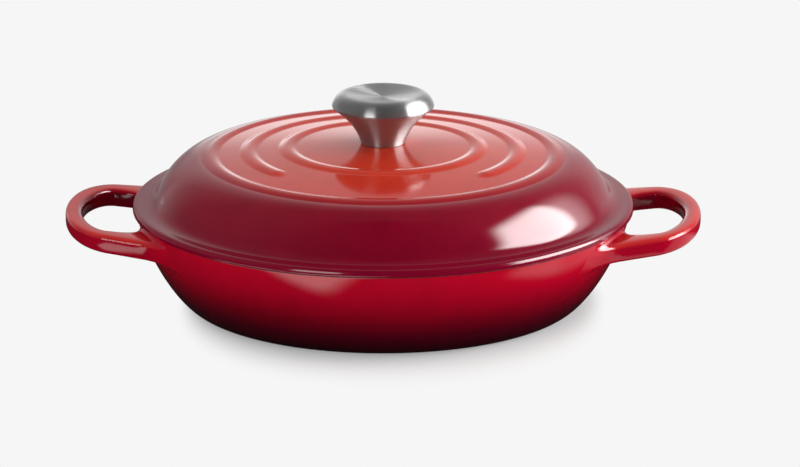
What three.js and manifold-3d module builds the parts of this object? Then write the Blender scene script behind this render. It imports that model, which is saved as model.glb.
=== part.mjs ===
// An enamelled cast iron casserole: a shallow round pot with two loop handles cast in one with it,
// a domed lid with raised rings, and a hollow steel knob that a screw holds from under the lid.
// Millimetres, +Z up. The origin is the centre of the base, on the surface that the pot stands on.
// The handles lie along X, and the front of the lid faces -Y.
import * as THREE from "three";
import { mergeVertices } from "three/addons/utils/BufferGeometryUtils.js";
import Module from "manifold-3d";

// Pot: the wall's curve runs out along the base, then up to the rim.
const POT_HEIGHT = 51.2;
const BASE_RADIUS = 103.4;
const RIM_RADIUS = 134.5;
const WALL_THICKNESS = 3.8;
const FLOOR_THICKNESS = 4.6;
const TOE_RUN = 7.1; // the curve's pull along the base
const TOE_RISE = 0.5;
const RIM_LEAN = 5.9; // the curve's pull inwards and down from the rim
const RIM_PULL = 26.7;
const RIM_CHAMFER = 0.8;
const FOOT_RING_WIDTH = 9; // flat ring that the pot stands on
const FOOT_RECESS = 0.8; // how far the middle of the base stands clear

// Handles: a flat loop with rounded edges that rises outwards and thins towards its end.
const HANDLE_REACH = 38; // beyond the rim
const HANDLE_HALF_WIDTH = 52.6; // at the shoulder, where the end begins to round
const HANDLE_SHOULDER = 13.5; // shoulder's distance beyond the rim
const HANDLE_SPREAD = 0.21; // how much the sides part towards the pot, per millimetre
const HANDLE_SIDE_PULL = 17.5; // the end curve's pulls, along the side and across the tip
const HANDLE_TIP_PULL = 23;
const HANDLE_SIDE_BAR = 13.1; // width of the bar at the shoulder and at the tip
const HANDLE_TIP_BAR = 9.3;
const HOLE_SIDE_PULL = 6.5; // the hole's end curve, pulled along its side and across its tip
const HOLE_TIP_PULL = 22;
const HANDLE_THICKNESS = 10.2; // at the tip
const HANDLE_SWELL = 0.8; // added thickness at the rim
const HANDLE_ROUND = 3.7; // edge radius
const HANDLE_HEIGHT = 42.6; // middle of the bar, at the rim
const HANDLE_RISE = 0.11; // per millimetre outwards
const ROOT_FLARE = 9; // spread of the outer side where it meets the wall
const ROOT_FILLET = 10; // inner corner between bar and wall
const ROOT_DEPTH = 30; // run of the root past the rim into the pot, trimmed flush inside

// Lid
const LIP_OVERHANG = 1.5; // beyond the rim
const LIP_THICKNESS = 4;
const LIP_WIDTH = 13.7; // edge to the dome's foot
const LIP_FILLET = 8.4; // run of the fillet at the dome's foot
const LIP_ROUND = 3; // upper edge
const LIP_CHAMFER = 0.7; // lower edge
const LID_WALL = 3.8;
const LID_RISE = 36.5; // rim to the knob's seat
const DOME_FOOT_RISE = 5.5; // foot of the dome above the lip
const DOME_FOOT_LEAN = 5.2; // the dome curve's pull at its foot, inwards and up
const DOME_FOOT_PULL = 10.9;
const SHOULDER_INSET = 36.8; // lid's edge to the shoulder, where dome turns into crown
const SHOULDER_SLOPE = 0.1;
const SHOULDER_PULL = 8.6; // the dome curve's pull at the shoulder
const CROWN_RISE = 7.5; // shoulder to the knob's seat
const CROWN_SLOPE = 0.05; // at the knob's seat
const CROWN_START_PULL = 6;
const CROWN_END_PULL = 40;
const FLANGE_DEPTH = 5; // locating flange that drops into the pot
const FLANGE_WIDTH = 3;
const FLANGE_ROUND = 1;
const LID_PLAY = 1.5; // between the flange and the pot's wall

// Raised rings on the crown. The middle one is broken at the front.
const RING_COUNT = 3;
const RING_PITCH = 21;
const RING_INSET = 5.3; // outer ring inside the shoulder
const RING_WIDTH = 9.8;
const RING_HEIGHT = 1.2;
const RING_SINK = 0.3; // foot of a ring below the crown's skin
const RING_ROOT = 1.8; // depth of a ring's underside below the crown's skin
const BROKEN_RING = 1; // counted from the outer ring
const RING_GAP_HALF_ANGLE = THREE.MathUtils.degToRad(50);

// Knob: a dished cap on a trumpet-shaped stem, both of sheet steel, round a threaded insert.
const KNOB_RADIUS = 27.9;
const CAP_HEIGHT = 7.1;
const CREST_RADIUS = 20.7; // edge of the dish
const CAP_SHOULDER_PULL = 5; // the cap curve's pull outwards from the crest
const DISH_DEPTH = 2;
const DISH_EDGE_PULL = 3.7; // the dish curve's pulls, at its edge and at its centre
const DISH_CENTRE_PULL = 10;
const STEM_HEIGHT = 20.5;
const STEM_FOOT_RADIUS = 11.9;
const STEM_FOOT_LEAN = 2.6; // the stem curve's pull at its foot, outwards and up
const STEM_FOOT_PULL = 8.8;
const STEM_TOP_RUN = 8; // the stem curve's pull at its top, inwards and down
const STEM_TOP_DROP = 5.8;
const SHEET = 1.3;
const SEAM_WIDTH = 2.2; // flat faces where cap and stem meet
const STEM_FOOT_PLATE = 2.4; // floor of the stem, round the insert
const INSERT_RADIUS = 7;
const INSERT_CLEARANCE = 0.1;
const SEAT_MARGIN = 1.8; // knob's flat seat beyond the stem's foot

// Screw and washer under the lid
const SCREW_RADIUS = 3;
const SCREW_ENGAGEMENT = 12; // length of screw inside the insert
const SCREW_TIP_CHAMFER = 0.6;
const BORE_CLEARANCE = 0.2; // screw in the insert
const BORE_SPARE = 3; // insert's bore beyond the screw's tip
const HEAD_RADIUS = 5.8;
const HEAD_HEIGHT = 3.4;
const HEAD_EDGE = 1.6; // straight part of the head's side
const DRIVE_LENGTH = 6;
const DRIVE_WIDTH = 1.2;
const DRIVE_DEPTH = 1.6;
const WASHER_RADIUS = 7.5;
const WASHER_THICKNESS = 1.2;
const HOLE_CLEARANCE = 0.5; // screw in the lid and in the washer
const CENTRE_THICKNESS = 5; // lid under the knob
const PAD_MARGIN = 1.5; // washer's flat pad beyond the washer

// Facets
const CASTING_SEGMENTS = 48;
const KNOB_SEGMENTS = 32;
const SCREW_SEGMENTS = 24;
const WALL_STEPS = 9;
const LIP_STEPS = 2;
const DOME_STEPS = 7;
const CROWN_STEPS = 5;
const RING_STEPS = 4;
const FILLET_STEPS = 4;
const HANDLE_STEPS = 8;
const HANDLE_ROUND_STEPS = 2;
const KNOB_STEPS = 5;
const MERGE_DISTANCE = 1e-3;

// Places that follow from the sizes above
const SEAT_HEIGHT = POT_HEIGHT + LID_RISE;
const LID_RADIUS = RIM_RADIUS + LIP_OVERHANG;
const LIP_TOP = POT_HEIGHT + LIP_THICKNESS;
const SHOULDER_RADIUS = LID_RADIUS - SHOULDER_INSET;
const SEAT_RADIUS = STEM_FOOT_RADIUS + SEAT_MARGIN;
const SEAM_HEIGHT = SEAT_HEIGHT + STEM_HEIGHT;
const CREST_HEIGHT = SEAM_HEIGHT + CAP_HEIGHT;
const DISH_UNDERSIDE = CREST_HEIGHT - DISH_DEPTH - SHEET;
const PAD_HEIGHT = SEAT_HEIGHT - CENTRE_THICKNESS;
const PAD_RADIUS = WASHER_RADIUS + PAD_MARGIN;
const HEAD_TOP = PAD_HEIGHT - WASHER_THICKNESS;
const SCREW_HOLE_RADIUS = SCREW_RADIUS + HOLE_CLEARANCE;
const SCREW_TIP = SEAT_HEIGHT + SCREW_ENGAGEMENT;

const wasm = await Module();
wasm.setup();

// Profiles are lists of points: x is the radius and y the height.
const point = (radius, height) => new THREE.Vector2(radius, height);
const curve = (steps, ...pulls) => new THREE.CubicBezierCurve(...pulls).getPoints(steps);
const bend = (steps, ...pulls) => new THREE.QuadraticBezierCurve(...pulls).getPoints(steps);

// A profile moved to its left side by a distance, as the inside of a wall follows its outside.
function offset(profile, distance) {
  return profile.map((p, i) => {
    const before = profile[Math.max(i - 1, 0)];
    const after = profile[Math.min(i + 1, profile.length - 1)];
    const along = after.clone().sub(before).normalize();
    return point(p.x - along.y * distance, p.y + along.x * distance);
  });
}

// The value of one coordinate of a profile where its other, rising coordinate has a given value.
function lookUp(profile, rising, value, wanted) {
  const found = profile.findIndex((p) => p[rising] > value);
  const i = found < 0 ? profile.length - 1 : Math.max(found, 1);
  const share = (value - profile[i - 1][rising]) / (profile[i][rising] - profile[i - 1][rising]);
  return THREE.MathUtils.lerp(profile[i - 1][wanted], profile[i][wanted], share);
}

const radiusAt = (profile, height) => lookUp(profile, "y", height, "x");
const heightAt = (profile, radius) => lookUp(profile, "x", radius, "y");

// The part of a rising profile between two heights.
function between(profile, low, high) {
  const inside = profile.filter((p) => p.y > low && p.y < high);
  return [point(radiusAt(profile, low), low), ...inside, point(radiusAt(profile, high), high)];
}

// A profile turned round Z. Its outer side runs upwards.
function revolve(profile, segments) {
  return new THREE.LatheGeometry(profile, segments).rotateX(Math.PI / 2);
}

// A ring's profile ends where it starts.
const closed = (profile) => [...profile, profile[0].clone()];

// A closed geometry as a solid that can be joined and cut.
function solid(geometry) {
  const bare = new THREE.BufferGeometry();
  bare.setAttribute("position", geometry.getAttribute("position"));
  bare.setIndex(geometry.index);
  const merged = mergeVertices(bare, MERGE_DISTANCE);
  const vertProperties = merged.getAttribute("position").array;
  const triVerts = new Uint32Array(merged.index.array);
  return new wasm.Manifold(new wasm.Mesh({ numProp: 3, vertProperties, triVerts }));
}

function geometryOf(made) {
  const { vertProperties, triVerts } = made.getMesh();
  const geometry = new THREE.BufferGeometry();
  geometry.setAttribute("position", new THREE.BufferAttribute(vertProperties, 3));
  geometry.setIndex(new THREE.BufferAttribute(triVerts, 1));
  geometry.computeVertexNormals();
  return geometry;
}

// Wall of the pot, outside and inside
const outerWall = curve(
  WALL_STEPS,
  point(BASE_RADIUS, 0),
  point(BASE_RADIUS + TOE_RUN, TOE_RISE),
  point(RIM_RADIUS - RIM_LEAN, POT_HEIGHT - RIM_PULL),
  point(RIM_RADIUS, POT_HEIGHT),
);
const innerWall = offset(outerWall, WALL_THICKNESS);
const rimInnerRadius = radiusAt(innerWall, POT_HEIGHT - RIM_CHAMFER);

function potOutside() {
  const wall = between(outerWall, 0, POT_HEIGHT - RIM_CHAMFER);
  const foot = BASE_RADIUS - FOOT_RING_WIDTH;
  return [
    point(0, FOOT_RECESS),
    point(foot - FOOT_RECESS, FOOT_RECESS),
    point(foot, 0),
    ...wall,
    point(RIM_RADIUS - RIM_CHAMFER, POT_HEIGHT),
    point(0, POT_HEIGHT),
  ];
}

function potInside() {
  const clear = POT_HEIGHT + WALL_THICKNESS;
  return [
    point(0, FLOOR_THICKNESS),
    ...between(innerWall, FLOOR_THICKNESS, POT_HEIGHT - RIM_CHAMFER),
    point(rimInnerRadius + RIM_CHAMFER, POT_HEIGHT),
    point(rimInnerRadius + RIM_CHAMFER, clear),
    point(0, clear),
  ];
}

// Half outline of the loop's outside, from the pot's wall to the tip, on the +Y side
function handleOuterHalf(wallRadius) {
  const tip = point(RIM_RADIUS + HANDLE_REACH, 0);
  const shoulder = point(RIM_RADIUS + HANDLE_SHOULDER, HANDLE_HALF_WIDTH);
  const side = point(1, -HANDLE_SPREAD).normalize();
  const along = shoulder.dot(side);
  const across = shoulder.lengthSq() - along ** 2;
  const run = along - Math.sqrt(wallRadius ** 2 - across); // shoulder back to the wall
  const meet = shoulder.clone().addScaledVector(side, -run);
  const angle = meet.angle() + ROOT_FLARE / wallRadius;
  const spread = point(Math.cos(angle), Math.sin(angle)).multiplyScalar(wallRadius);
  const end = curve(
    HANDLE_STEPS,
    shoulder,
    shoulder.clone().addScaledVector(side, HANDLE_SIDE_PULL),
    point(tip.x, HANDLE_TIP_PULL),
    tip,
  );
  return [
    point(RIM_RADIUS - ROOT_DEPTH, spread.y),
    ...bend(FILLET_STEPS, spread, meet, meet.clone().addScaledVector(side, ROOT_FLARE)),
    ...end,
  ];
}

// Half outline of the loop's hole: a fillet against the wall, the side, and the rounded end
function handleInnerHalf(wallRadius) {
  const tip = point(RIM_RADIUS + HANDLE_REACH - HANDLE_TIP_BAR, 0);
  const shoulder = point(RIM_RADIUS + HANDLE_SHOULDER, HANDLE_HALF_WIDTH - HANDLE_SIDE_BAR);
  const filletY = shoulder.y - ROOT_FILLET;
  const filletX = Math.sqrt((wallRadius + ROOT_FILLET) ** 2 - filletY ** 2);
  const towardsWall = Math.PI + Math.atan2(filletY, filletX);
  const fillet = new THREE.EllipseCurve(
    filletX, filletY, ROOT_FILLET, ROOT_FILLET, towardsWall, Math.PI / 2, true,
  );
  const end = curve(
    HANDLE_STEPS,
    shoulder,
    point(shoulder.x + HOLE_SIDE_PULL, shoulder.y),
    point(tip.x, HOLE_TIP_PULL),
    tip,
  );
  return [...fillet.getPoints(FILLET_STEPS), ...end];
}

// A half outline that ends on the X axis, with its mirror image
const mirrored = (half) => [...half, ...half.slice(0, -1).map((p) => point(p.x, -p.y)).reverse()];

// One loop on the +X side, still running on into the pot
function handleLoop() {
  const wallRadius = radiusAt(outerWall, HANDLE_HEIGHT);
  const outline = new THREE.Shape(mirrored(handleOuterHalf(wallRadius)));
  outline.holes.push(new THREE.Path(mirrored(handleInnerHalf(wallRadius)).reverse()));
  const core = HANDLE_THICKNESS - 2 * HANDLE_ROUND;
  const loop = new THREE.ExtrudeGeometry(outline, {
    depth: core,
    bevelThickness: HANDLE_ROUND,
    bevelSize: HANDLE_ROUND,
    bevelOffset: -HANDLE_ROUND,
    bevelSegments: HANDLE_ROUND_STEPS,
  }).translate(0, 0, -core / 2);
  const place = loop.getAttribute("position");
  for (let i = 0; i < place.count; i++) {
    const out = place.getX(i) - RIM_RADIUS;
    const swell = 1 + (HANDLE_SWELL / HANDLE_THICKNESS) * (1 - out / HANDLE_REACH);
    place.setZ(i, HANDLE_HEIGHT + HANDLE_RISE * out + place.getZ(i) * swell);
  }
  return loop;
}

function potBody() {
  const right = handleLoop();
  const left = right.clone().rotateZ(Math.PI);
  const block = solid(revolve(potOutside(), CASTING_SEGMENTS)).add(solid(right)).add(solid(left));
  return geometryOf(block.subtract(solid(revolve(potInside(), CASTING_SEGMENTS))));
}

// Skin of the lid from the dome's foot to the knob's seat
const domeFoot = point(LID_RADIUS - LIP_WIDTH, LIP_TOP + DOME_FOOT_RISE);
const shoulder = point(SHOULDER_RADIUS, SEAT_HEIGHT - CROWN_RISE);
const dome = curve(
  DOME_STEPS,
  domeFoot,
  point(domeFoot.x - DOME_FOOT_LEAN, domeFoot.y + DOME_FOOT_PULL),
  point(shoulder.x + SHOULDER_PULL, shoulder.y - SHOULDER_PULL * SHOULDER_SLOPE),
  shoulder,
);
const crown = curve(
  CROWN_STEPS,
  shoulder,
  point(shoulder.x - CROWN_START_PULL, shoulder.y + CROWN_START_PULL * SHOULDER_SLOPE),
  point(SEAT_RADIUS + CROWN_END_PULL, SEAT_HEIGHT - CROWN_END_PULL * CROWN_SLOPE),
  point(SEAT_RADIUS, SEAT_HEIGHT),
);
const lidSkin = [...dome, ...crown.slice(1)];
const skinFromCentre = [...lidSkin].reverse();

// Lip, dome, crown, screw hole, hollow underside and locating flange in one closed section
function lidSection() {
  const underside = offset(lidSkin, LID_WALL).reverse();
  const flangeFoot = POT_HEIGHT - FLANGE_DEPTH;
  const flangeTopRadius = rimInnerRadius - LID_PLAY;
  const flangeFootRadius = radiusAt(innerWall, flangeFoot) - LID_PLAY;
  const flangeInner = flangeFootRadius - FLANGE_WIDTH;
  const filletStart = point(domeFoot.x + LIP_FILLET, LIP_TOP);
  const filletCorner = point(domeFoot.x + DOME_FOOT_RISE * DOME_FOOT_LEAN / DOME_FOOT_PULL, LIP_TOP);
  const edge = point(LID_RADIUS, LIP_TOP);
  return closed([
    point(LID_RADIUS - LIP_CHAMFER, POT_HEIGHT),
    point(LID_RADIUS, POT_HEIGHT + LIP_CHAMFER),
    ...bend(LIP_STEPS, point(LID_RADIUS, LIP_TOP - LIP_ROUND), edge, point(LID_RADIUS - LIP_ROUND, LIP_TOP)),
    ...bend(LIP_STEPS, filletStart, filletCorner, domeFoot),
    ...lidSkin.slice(1),
    point(SCREW_HOLE_RADIUS, SEAT_HEIGHT),
    point(SCREW_HOLE_RADIUS, PAD_HEIGHT),
    point(PAD_RADIUS, PAD_HEIGHT),
    ...underside,
    point(flangeInner, flangeFoot + FLANGE_ROUND),
    point(flangeInner + FLANGE_ROUND, flangeFoot),
    point(flangeFootRadius - FLANGE_ROUND, flangeFoot),
    point(flangeFootRadius, flangeFoot + FLANGE_ROUND),
    point(flangeTopRadius, POT_HEIGHT),
  ]);
}

// Height of a ring's bell-shaped section over the crown, from its centre (0) to its foot (1)
const bell = (share) => (RING_HEIGHT + RING_SINK) * Math.cos(share * Math.PI / 2) ** 2 - RING_SINK;

function ringRidge(radius) {
  const half = RING_WIDTH / 2;
  const shares = Array.from({ length: RING_STEPS + 1 }, (_, i) => 1 - 2 * i / RING_STEPS);
  const over = (share, height) => {
    const r = radius + share * half;
    return point(r, heightAt(skinFromCentre, r) + height);
  };
  const ridge = [over(-1, -RING_ROOT), over(1, -RING_ROOT), ...shares.map((s) => over(s, bell(s)))];
  return solid(revolve(closed(ridge), CASTING_SEGMENTS));
}

// A ring broken at the front, each end rounded off
function brokenRidge(radius) {
  const half = RING_WIDTH / 2;
  const far = 2 * LID_RADIUS;
  const sideX = far * Math.sin(RING_GAP_HALF_ANGLE);
  const sideY = -far * Math.cos(RING_GAP_HALF_ANGLE);
  const sector = new THREE.Shape([point(0, 0), point(-sideX, sideY), point(sideX, sideY)]);
  const gap = new THREE.ExtrudeGeometry(sector, { depth: CREST_HEIGHT, bevelEnabled: false });
  const shares = Array.from({ length: RING_STEPS / 2 + 1 }, (_, i) => 1 - 2 * i / RING_STEPS);
  const endTop = shares.map((s) => point(s * half, bell(s)));
  const endSection = [point(0, -RING_ROOT), point(half, -RING_ROOT), ...endTop];
  const middle = heightAt(skinFromCentre, radius);
  let ridge = ringRidge(radius).subtract(solid(gap));
  for (const side of [-1, 1]) {
    const x = side * radius * Math.sin(RING_GAP_HALF_ANGLE);
    const y = -radius * Math.cos(RING_GAP_HALF_ANGLE);
    ridge = ridge.add(solid(revolve(endSection, SCREW_SEGMENTS).translate(x, y, middle)));
  }
  return ridge;
}

function lid() {
  let made = solid(revolve(lidSection(), CASTING_SEGMENTS));
  for (let i = 0; i < RING_COUNT; i++) {
    const radius = SHOULDER_RADIUS - RING_INSET - i * RING_PITCH;
    made = made.add(i === BROKEN_RING ? brokenRidge(radius) : ringRidge(radius));
  }
  return geometryOf(made);
}

// Upper shell of the knob: a rounded shoulder, a crest and a dished top, flat inside over the insert
function knobCap() {
  const crest = point(CREST_RADIUS, CREST_HEIGHT);
  const dishHeight = CREST_HEIGHT - DISH_DEPTH;
  const rim = point(KNOB_RADIUS, SEAM_HEIGHT);
  const capCorner = point(CREST_RADIUS + CAP_SHOULDER_PULL, CREST_HEIGHT);
  const capShoulder = bend(KNOB_STEPS, rim, capCorner, crest);
  const dish = curve(
    KNOB_STEPS,
    crest,
    point(CREST_RADIUS - DISH_EDGE_PULL, CREST_HEIGHT),
    point(DISH_CENTRE_PULL, dishHeight),
    point(0, dishHeight),
  );
  const skin = [...capShoulder, ...dish.slice(1)];
  const inner = offset(skin, SHEET)
    .filter((p) => p.x > INSERT_RADIUS && p.x < KNOB_RADIUS - SEAM_WIDTH && p.y > SEAM_HEIGHT)
    .reverse();
  return revolve([
    point(0, DISH_UNDERSIDE),
    point(INSERT_RADIUS, DISH_UNDERSIDE),
    ...inner,
    point(KNOB_RADIUS - SEAM_WIDTH, SEAM_HEIGHT),
    ...skin,
  ], KNOB_SEGMENTS);
}

// Lower shell of the knob: a trumpet with a floor that the insert passes through
function knobStem() {
  const skin = curve(
    KNOB_STEPS,
    point(STEM_FOOT_RADIUS, SEAT_HEIGHT),
    point(STEM_FOOT_RADIUS + STEM_FOOT_LEAN, SEAT_HEIGHT + STEM_FOOT_PULL),
    point(KNOB_RADIUS - STEM_TOP_RUN, SEAM_HEIGHT - STEM_TOP_DROP),
    point(KNOB_RADIUS, SEAM_HEIGHT),
  );
  const floor = SEAT_HEIGHT + STEM_FOOT_PLATE;
  const bore = INSERT_RADIUS + INSERT_CLEARANCE;
  const inner = offset(skin, SHEET);
  const seam = point(KNOB_RADIUS - SEAM_WIDTH, SEAM_HEIGHT);
  const inside = inner.filter((p) => p.y > floor && p.x < seam.x);
  return revolve(closed([
    ...skin,
    seam,
    ...inside.reverse(),
    point(radiusAt(inner, floor), floor),
    point(bore, floor),
    point(bore, SEAT_HEIGHT),
  ]), KNOB_SEGMENTS);
}

// Threaded bush from the lid up to the cap, with a blind bore for the screw
function knobInsert() {
  const bore = SCREW_RADIUS + BORE_CLEARANCE;
  const boreEnd = SCREW_TIP + BORE_SPARE;
  return revolve([
    point(0, boreEnd),
    point(bore, boreEnd),
    point(bore, SEAT_HEIGHT),
    point(INSERT_RADIUS, SEAT_HEIGHT),
    point(INSERT_RADIUS, DISH_UNDERSIDE),
    point(0, DISH_UNDERSIDE),
  ], KNOB_SEGMENTS);
}

// Round-headed screw, head down, with a cross recess
function knobScrew() {
  const headFoot = HEAD_TOP - HEAD_HEIGHT;
  const edge = HEAD_TOP - HEAD_EDGE;
  const corner = point(HEAD_RADIUS, headFoot);
  const round = bend(FILLET_STEPS, point(0, headFoot), corner, point(HEAD_RADIUS, edge));
  let screw = solid(revolve([
    ...round,
    point(HEAD_RADIUS, HEAD_TOP),
    point(SCREW_RADIUS, HEAD_TOP),
    point(SCREW_RADIUS, SCREW_TIP - SCREW_TIP_CHAMFER),
    point(SCREW_RADIUS - SCREW_TIP_CHAMFER, SCREW_TIP),
    point(0, SCREW_TIP),
  ], SCREW_SEGMENTS));
  for (const turn of [0, Math.PI / 2]) {
    const slot = new THREE.BoxGeometry(DRIVE_LENGTH, DRIVE_WIDTH, 2 * DRIVE_DEPTH);
    screw = screw.subtract(solid(slot.rotateZ(turn).translate(0, 0, headFoot)));
  }
  return geometryOf(screw);
}

function screwWasher() {
  return revolve(closed([
    point(WASHER_RADIUS, HEAD_TOP),
    point(WASHER_RADIUS, PAD_HEIGHT),
    point(SCREW_HOLE_RADIUS, PAD_HEIGHT),
    point(SCREW_HOLE_RADIUS, HEAD_TOP),
  ]), SCREW_SEGMENTS);
}

// Finishes
const enamel = (color) => new THREE.MeshStandardMaterial({ color, roughness: 0.12, metalness: 0 });
const steel = (color, roughness) => new THREE.MeshStandardMaterial({ color, roughness, metalness: 1 });

function piece(name, geometry, material) {
  const mesh = new THREE.Mesh(geometry, material);
  mesh.name = name;
  return mesh;
}

const casserole = new THREE.Group();
casserole.add(piece("pot_body", potBody(), enamel(0xa3081f)));

const cover = new THREE.Group();
cover.add(
  piece("lid", lid(), enamel(0xa81626)),
  piece("knob_cap", knobCap(), steel(0xb9bab8, 0.3)),
  piece("knob_stem", knobStem(), steel(0xa9aaa8, 0.3)),
  piece("knob_insert", knobInsert(), steel(0x8f9192, 0.45)),
  piece("screw_washer", screwWasher(), steel(0xa6a7a6, 0.4)),
  piece("knob_screw", knobScrew(), steel(0x9c9d9d, 0.35)),
);
casserole.add(cover);

export default casserole;
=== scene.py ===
import math

import bmesh
import bpy
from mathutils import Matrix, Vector


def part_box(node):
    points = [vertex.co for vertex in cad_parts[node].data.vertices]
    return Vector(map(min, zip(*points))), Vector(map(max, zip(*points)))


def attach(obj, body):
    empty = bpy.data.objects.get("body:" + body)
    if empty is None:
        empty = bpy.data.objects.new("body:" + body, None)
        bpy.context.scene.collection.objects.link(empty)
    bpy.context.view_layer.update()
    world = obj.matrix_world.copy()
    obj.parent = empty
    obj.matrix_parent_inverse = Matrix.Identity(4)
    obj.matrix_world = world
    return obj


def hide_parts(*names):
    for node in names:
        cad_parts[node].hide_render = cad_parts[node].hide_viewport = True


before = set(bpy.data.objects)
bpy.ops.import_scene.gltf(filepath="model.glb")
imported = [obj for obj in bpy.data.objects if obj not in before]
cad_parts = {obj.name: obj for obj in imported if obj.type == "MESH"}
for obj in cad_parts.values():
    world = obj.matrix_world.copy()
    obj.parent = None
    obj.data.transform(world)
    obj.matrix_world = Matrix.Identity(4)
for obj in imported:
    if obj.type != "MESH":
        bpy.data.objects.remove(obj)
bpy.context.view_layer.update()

MM = 0.001

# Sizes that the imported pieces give
POT_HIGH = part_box("pot_body")[1]
LID_LOW, LID_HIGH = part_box("lid")
CAP_LOW, CAP_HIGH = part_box("knob_cap")
WASHER_LOW, WASHER_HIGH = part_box("screw_washer")
SCREW_LOW, SCREW_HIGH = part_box("knob_screw")
RIM_RADIUS = POT_HIGH.y
HANDLE_TIP = POT_HIGH.x
LID_RADIUS = LID_HIGH.y
SEAT_HEIGHT = LID_HIGH.z
KNOB_RADIUS = CAP_HIGH.y
SEAM_HEIGHT = CAP_LOW.z
CREST_HEIGHT = CAP_HIGH.z

# Pot
FLANGE_DEPTH = 5 * MM  # the lid's flange drops this far below the rim
POT_HEIGHT = LID_LOW.z + FLANGE_DEPTH
BASE_RADIUS = 103.4 * MM
WALL = 3.8 * MM
FLOOR = 4.6 * MM
TOE_RUN = 7.1 * MM  # pull of the wall's curve along the base
TOE_RISE = 0.5 * MM
RIM_LEAN = 5.9 * MM  # pull of the wall's curve inwards and down from the rim
RIM_PULL = 26.7 * MM
RIM_ROUND = 1.0 * MM
FOOT_RING = 9 * MM  # width of the ring that the pot stands on
FOOT_RECESS = 0.8 * MM
FLOOR_BEND = 1.4 * MM  # height over the floor where the wall starts to bend into it

# Handles
HANDLE_HALF_WIDTH = 52.6 * MM
HANDLE_SHOULDER = RIM_RADIUS + 13.5 * MM  # where the end begins to round
HANDLE_SPREAD = 0.21  # how much the outer sides part towards the pot
HANDLE_SIDE_PULL = 17.5 * MM
HANDLE_TIP_PULL = 23 * MM
SIDE_BAR = 13.1 * MM  # width of the bar at the shoulder and at the tip
TIP_BAR = 9.3 * MM
HOLE_SIDE_PULL = 6.5 * MM
HOLE_TIP_PULL = 22 * MM
HANDLE_THICKNESS = 10.2 * MM
HANDLE_SWELL = 0.8 * MM  # added thickness at the rim
SIDE_ROUND = 2.4 * MM  # reach of the edges' rounding down the bar, at the shoulder and at the tip
TIP_ROUND = 3.8 * MM
HANDLE_CROWN = 5.4 * MM  # reach of the edges' rounding across the bar
CROWNED_SHARE = 0.48  # most of the bar's width that this rounding takes on one side
HANDLE_HEIGHT = 42.6 * MM  # middle of the bar at the rim
HANDLE_RISE = 0.11
LOOP_MIDDLE = RIM_RADIUS + 13 * MM
ROOT_SPREAD = 9.5 * MM  # fillet against the wall, on the outer side
ROOT_REACH = 9.5 * MM
LOOP_SPREAD = 12 * MM  # fillet against the wall, inside the loop
LOOP_REACH = 17 * MM
ROOT_WEB = 2.2 * MM  # fillet against the wall, up and down
ROOT_WEB_REACH = 5 * MM
ROOT_SINK = 0.3 * MM  # root's end under the wall's skin

# Lid
LIP_THICKNESS = 4 * MM
LIP_TOP = POT_HEIGHT + LIP_THICKNESS
LIP_WIDTH = 13.7 * MM
LIP_FILLET = 8.4 * MM
LIP_ROUND = 3 * MM
LIP_UNDER_ROUND = 0.8 * MM
LID_WALL = 3.8 * MM
DOME_FOOT_RISE = 5.5 * MM
DOME_FOOT_LEAN = 5.2 * MM
DOME_FOOT_PULL = 10.9 * MM
SHOULDER_RADIUS = LID_RADIUS - 36.8 * MM
SHOULDER_SLOPE = 0.1
SHOULDER_PULL = 8.6 * MM
CROWN_RISE = 7.5 * MM
CROWN_SLOPE = 0.05
CROWN_START_PULL = 6 * MM
CROWN_END_PULL = 40 * MM
FLANGE_WIDTH = 3 * MM
FLANGE_ROUND = 1 * MM
LID_PLAY = 1.5 * MM
RING_RADII = [SHOULDER_RADIUS - 5.3 * MM - i * 21 * MM for i in range(3)]
RING_HALF = 4.9 * MM
RING_HEIGHT = 1.2 * MM
RING_FULLNESS = 1.35  # 1 makes a plain arch, and more gives it a fillet at its foot
BROKEN_RING = RING_RADII[1]
RING_GAP = math.radians(50)  # half the gap at the front

# Knob
CAP_CREST = 20.7 * MM
CAP_SHOULDER_PULL = 5 * MM
DISH_DEPTH = 2 * MM
DISH_EDGE_PULL = 3.7 * MM
DISH_CENTRE_PULL = 10 * MM
STEM_FOOT = 11.9 * MM
STEM_FOOT_LEAN = 2.6 * MM
STEM_FOOT_PULL = 8.8 * MM
STEM_TOP_RUN = 8 * MM
STEM_TOP_DROP = 5.8 * MM
SHEET = 1.3 * MM
SEAM_WIDTH = 2.2 * MM
SEAM_ROUND = 0.9 * MM
FOOT_ROUND = 0.5 * MM
FOOT_PLATE = 2.4 * MM
INSERT_RADIUS = 7 * MM
INSERT_CLEARANCE = 0.1 * MM
SEAT_RADIUS = STEM_FOOT + 1.8 * MM

# Screw and washer
SCREW_RADIUS = 3 * MM
THREAD_PITCH = 1 * MM
THREAD_DEPTH = 0.55 * MM
HEAD_TOP = WASHER_LOW.z
HEAD_EDGE = 1.6 * MM
HOLE_RADIUS = SCREW_RADIUS + 0.5 * MM
PAD_HEIGHT = WASHER_HIGH.z
PAD_RADIUS = WASHER_HIGH.y + 1.5 * MM
THREAD_START = 1.6 * THREAD_PITCH  # first turn of the thread above the head
THREAD_FOOT_HALF = 0.46 * THREAD_PITCH  # half widths of the thread's rib
THREAD_CREST_HALF = 0.06 * THREAD_PITCH
HEAD_FULLNESS = 0.92  # pull of the head's curve along its foot, as a share of its radius
DRIVE_LENGTH = 6 * MM
DRIVE_WIDTH = 1.2 * MM
DRIVE_DEPTH = 1.6 * MM
DRIVE_TAPER = 0.55  # size of the recess at its point, as a share of its mouth
DRIVE_TURN = math.radians(20)
SMALL_ROUND = 0.25 * MM

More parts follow.
